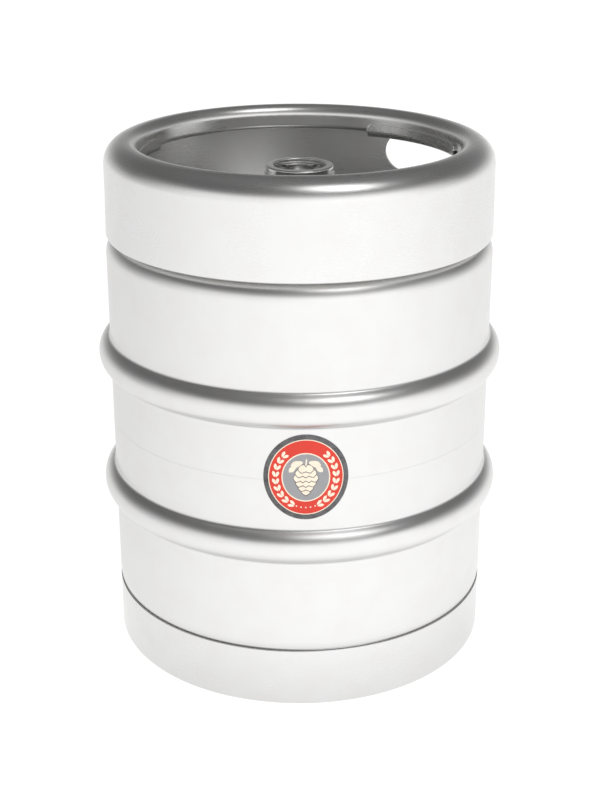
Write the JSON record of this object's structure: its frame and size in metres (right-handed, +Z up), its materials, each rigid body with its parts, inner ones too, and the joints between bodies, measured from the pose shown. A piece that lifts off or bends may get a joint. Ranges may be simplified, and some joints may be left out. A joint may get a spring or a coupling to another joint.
{
  "type": "beer keg",
  "caption": "Upright stainless steel beer keg with two rolling hoops, chimes with hand holes, and a neck holding a spring-closed well-type extractor and spear.",
  "frame": {"origin": "centre of the foot, on the floor", "axes": "+Z up along the keg's axis, towards the neck; -Y to the front, where the label is; +X to the right seen from the front"},
  "size_m": [0.4133, 0.4134, 0.532],
  "materials": {
    "upper_shell": "satin brushed stainless steel",
    "lower_shell": "satin brushed stainless steel",
    "centre_weld": "pickled weld bead",
    "upper_chime": "bright satin stainless steel",
    "hand_grip_right": "satin brushed stainless steel",
    "hand_grip_left": "satin brushed stainless steel",
    "lower_chime": "bright satin stainless steel",
    "upper_chime_weld": "pickled weld bead",
    "lower_chime_weld": "pickled weld bead",
    "neck_boss": "machined stainless steel",
    "neck_weld": "pickled weld bead",
    "neck_seal": "black food-grade rubber",
    "extractor_housing": "machined stainless steel",
    "retaining_ring": "machined stainless steel",
    "spring_retainer": "machined stainless steel",
    "gas_valve_seal": "black food-grade rubber",
    "valve_cup": "machined stainless steel",
    "down_tube": "satin brushed stainless steel",
    "main_spring": "drawn stainless spring wire",
    "beer_ball": "ground stainless ball",
    "ball_spring": "drawn stainless spring wire",
    "label": "printed film: charcoal ring, thin cream ring, red field, cream hop cone"
  },
  "bodies": {
    "keg": {"upper_shell": "upper_shell", "lower_shell": "lower_shell", "centre_weld": "centre_weld", "upper_chime": "upper_chime", "hand_grip_right": "hand_grip_right", "hand_grip_left": "hand_grip_left", "lower_chime": "lower_chime", "upper_chime_weld": "upper_chime_weld", "lower_chime_weld": "lower_chime_weld", "neck_boss": "neck_boss", "neck_weld": "neck_weld", "neck_seal": "neck_seal", "extractor_housing": "extractor_housing", "retaining_ring": "retaining_ring", "spring_retainer": "spring_retainer", "main_spring": "main_spring", "label": "label"},
    "spear": {"gas_valve_seal": "gas_valve_seal", "valve_cup": "valve_cup", "down_tube": "down_tube", "ball_spring": "ball_spring"},
    "ball": {"beer_ball": "beer_ball"}
  },
  "joints": [
    {"name": "gas_valve_open", "type": "slide", "parent": "keg", "child": "spear", "axis": [0, 0, -1], "range_m": [0, 0.008], "stiffness_N_per_m": 4000, "springref_m": -0.012, "deforming": ["main_spring"]},
    {"name": "beer_valve_open", "type": "slide", "parent": "spear", "child": "ball", "axis": [0, 0, -1], "range_m": [0, 0.0045], "stiffness_N_per_m": 400, "springref_m": -0.008, "deforming": ["ball_spring"]}
  ]
}
